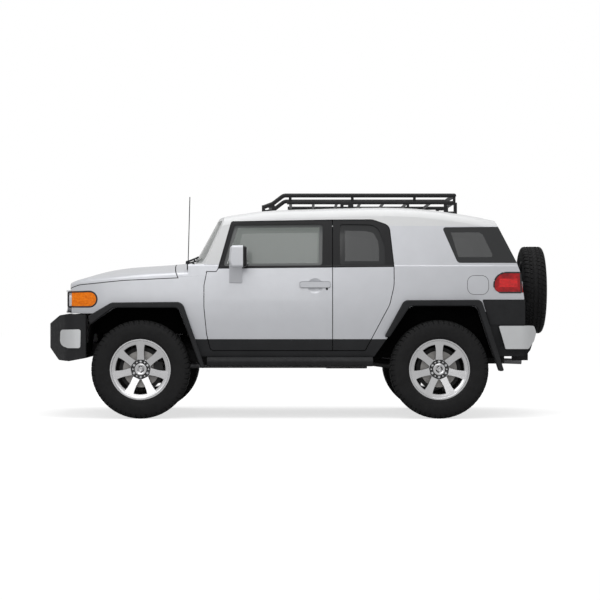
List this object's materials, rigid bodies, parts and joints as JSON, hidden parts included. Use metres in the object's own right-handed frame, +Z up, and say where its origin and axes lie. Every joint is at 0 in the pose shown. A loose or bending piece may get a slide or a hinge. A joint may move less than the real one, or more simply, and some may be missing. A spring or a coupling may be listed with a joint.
{
  "type": "lifted off-road 4x4",
  "caption": "Lifted off-road 4x4 with wide doors, side-hinged tailgate with spare wheel, flared arches, side steps and tubular roof rack.",
  "frame": {"origin": "on the ground, under the middle of the overall length and width", "axes": "+X towards the front bumper, +Y to the vehicle's left, +Z up"},
  "size_m": [4.59, 2.184, 2.0469],
  "materials": {
    "body_paint": "silver metallic",
    "roof_paint": "gloss white",
    "clear_glass": "tinted",
    "lamp_clear": "clear lens",
    "lamp_amber": "amber lens",
    "lamp_red": "red lens",
    "dark_plastic": "textured dark grey",
    "satin_metal": "satin",
    "tyre": "matte",
    "chassis_black": "black coat",
    "engine_metal": "cast",
    "seat_fabric": "woven"
  },
  "bodies": {
    "body": {"chassis_frame": "chassis_black", "rear_axle": "chassis_black", "front_suspension": "chassis_black", "drivetrain": "chassis_black", "engine_block": "engine_metal", "exhaust": "engine_metal", "fuel_tank": "chassis_black", "floor_pan": "chassis_black", "wheel_liners": "dark_plastic", "firewall": "chassis_black", "body_side_left": "body_paint", "body_side_right": "body_paint", "rear_panel": "body_paint", "roof_panel": "roof_paint", "front_fenders": "body_paint", "cowl_panel": "body_paint", "fixed_glass": "clear_glass", "grille": "dark_plastic", "headlamps": "lamp_clear", "corner_lamps": "lamp_amber", "tail_lamps": "lamp_red", "front_bumper": "dark_plastic", "rear_bumper": "dark_plastic", "bumper_corners": "satin_metal", "wheel_flares": "dark_plastic", "side_steps": "dark_plastic", "roof_rack": "dark_plastic", "cowl_trim": "dark_plastic", "dashboard": "dark_plastic", "front_seats": "seat_fabric", "rear_bench": "seat_fabric"},
    "hood_lid": {"hood": "body_paint"},
    "front_door_l": {"front_door_left": "body_paint", "front_window_left": "clear_glass", "mirror_left": "dark_plastic"},
    "front_door_r": {"front_door_right": "body_paint", "front_window_right": "clear_glass", "mirror_right": "dark_plastic"},
    "rear_door_l": {"rear_door_left": "body_paint", "rear_window_left": "clear_glass"},
    "rear_door_r": {"rear_door_right": "body_paint", "rear_window_right": "clear_glass"},
    "gate": {"tailgate": "body_paint", "tailgate_glass": "clear_glass", "spare_tyre": "tyre", "spare_rim": "satin_metal"},
    "steer_l": {"knuckle_left": "chassis_black"},
    "steer_r": {"knuckle_right": "chassis_black"},
    "wheel_front_left": {"tyre_front_left": "tyre", "rim_front_left": "satin_metal"},
    "wheel_front_right": {"tyre_front_right": "tyre", "rim_front_right": "satin_metal"},
    "wheel_rear_left": {"tyre_rear_left": "tyre", "rim_rear_left": "satin_metal"},
    "wheel_rear_right": {"tyre_rear_right": "tyre", "rim_rear_right": "satin_metal"}
  },
  "joints": [
    {"name": "steer_left", "type": "hinge", "parent": "body", "child": "steer_l", "pos_m": [1.436, 0.775, 0.444], "axis": [0, 0, 1], "range_deg": [-28, 28]},
    {"name": "steer_right", "type": "hinge", "parent": "body", "child": "steer_r", "pos_m": [1.436, -0.775, 0.444], "axis": [0, 0, 1], "range_deg": [-28, 28]},
    {"name": "spin_front_left", "type": "hinge", "parent": "steer_l", "child": "wheel_front_left", "pos_m": [1.436, 0.815, 0.444], "axis": [0, 1, 0], "continuous": true},
    {"name": "spin_front_right", "type": "hinge", "parent": "steer_r", "child": "wheel_front_right", "pos_m": [1.436, -0.815, 0.444], "axis": [0, 1, 0], "continuous": true},
    {"name": "spin_rear_left", "type": "hinge", "parent": "body", "child": "wheel_rear_left", "pos_m": [-1.254, 0.815, 0.444], "axis": [0, 1, 0], "continuous": true},
    {"name": "spin_rear_right", "type": "hinge", "parent": "body", "child": "wheel_rear_right", "pos_m": [-1.254, -0.815, 0.444], "axis": [0, 1, 0], "continuous": true},
    {"name": "front_door_left_hinge", "type": "hinge", "parent": "body", "child": "front_door_l", "pos_m": [0.925, 0.872, 0.9], "axis": [0, 0, -1], "range_deg": [0, 65]},
    {"name": "front_door_right_hinge", "type": "hinge", "parent": "body", "child": "front_door_r", "pos_m": [0.925, -0.872, 0.9], "axis": [0, 0, 1], "range_deg": [0, 65]},
    {"name": "rear_door_left_hinge", "type": "hinge", "parent": "body", "child": "rear_door_l", "pos_m": [-0.908, 0.872, 1.2], "axis": [0, 0, 1], "range_deg": [0, 75]},
    {"name": "rear_door_right_hinge", "type": "hinge", "parent": "body", "child": "rear_door_r", "pos_m": [-0.908, -0.872, 1.2], "axis": [0, 0, -1], "range_deg": [0, 75]},
    {"name": "hood_hinge", "type": "hinge", "parent": "body", "child": "hood_lid", "pos_m": [1.09, 0, 1.368], "axis": [0, -1, 0], "range_deg": [0, 55]},
    {"name": "tailgate_hinge", "type": "hinge", "parent": "body", "child": "gate", "pos_m": [-2.05, -0.72, 1.1], "axis": [0, 0, 1], "range_deg": [0, 95]}
  ],
  "couplings": [
    {"joint": "steer_right", "follows": "steer_left", "ratio": 1}
  ]
}
